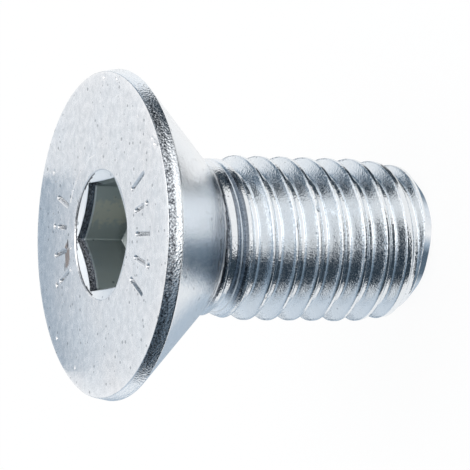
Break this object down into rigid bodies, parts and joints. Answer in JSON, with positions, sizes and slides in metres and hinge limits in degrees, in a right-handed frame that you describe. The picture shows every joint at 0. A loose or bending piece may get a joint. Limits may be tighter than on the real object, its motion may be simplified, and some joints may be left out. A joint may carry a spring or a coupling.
{
  "type": "countersunk socket screw",
  "caption": "Countersunk machine screw with a flat hexagon-socket head, a 90 degree seat and a right-hand thread right up to the head.",
  "frame": {"origin": "centre of the flat disc at the cut end of the thread, on which the screw stands", "axes": "+Z along the screw's axis, from the cut end to the flat face of the head; two flats of the socket are square to X and two of its corners point along Y"},
  "size_m": [0.0194, 0.0194, 0.02],
  "materials": {
    "zinc_plate": "steel with bright blue-white zinc plating, worn satin, faint yellow-green tint, dark specks in its pores"
  },
  "bodies": {
    "root": {"screw": "zinc_plate"}
  },
  "joints": []
}
